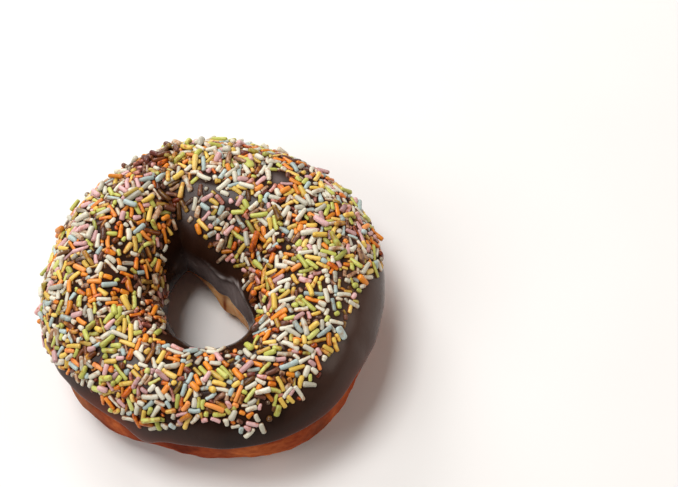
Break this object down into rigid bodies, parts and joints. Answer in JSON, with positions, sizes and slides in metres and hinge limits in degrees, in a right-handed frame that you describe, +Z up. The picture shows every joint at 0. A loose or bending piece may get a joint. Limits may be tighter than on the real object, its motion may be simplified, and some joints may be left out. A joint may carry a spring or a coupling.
{
  "type": "sprinkle frosted doughnut",
  "caption": "Fried ring doughnut with a thin chocolate icing cap, coated in pastel sugar-strand sprinkles, resting flat; its hole is off centre and flattened on one side.",
  "frame": {"origin": "centre of the doughnut's outline, on the surface it rests on", "axes": "+Z up through the ring, from its flat foot to its iced crown; -Y towards the side where the ring is narrowest"},
  "size_m": [0.0892, 0.091, 0.0318],
  "materials": {
    "fried_dough": "fried crust, slightly oily",
    "chocolate": "set chocolate icing, satin",
    "sprinkle_orange": "sugar strand, satin",
    "sprinkle_yellow": "sugar strand, satin",
    "sprinkle_lime": "sugar strand, satin",
    "sprinkle_pink": "sugar strand, satin",
    "sprinkle_blue": "sugar strand, satin",
    "sprinkle_cream": "sugar strand, satin"
  },
  "bodies": {
    "root": {"dough_ring": "fried_dough", "chocolate_icing": "chocolate"}
  },
  "joints": []
}
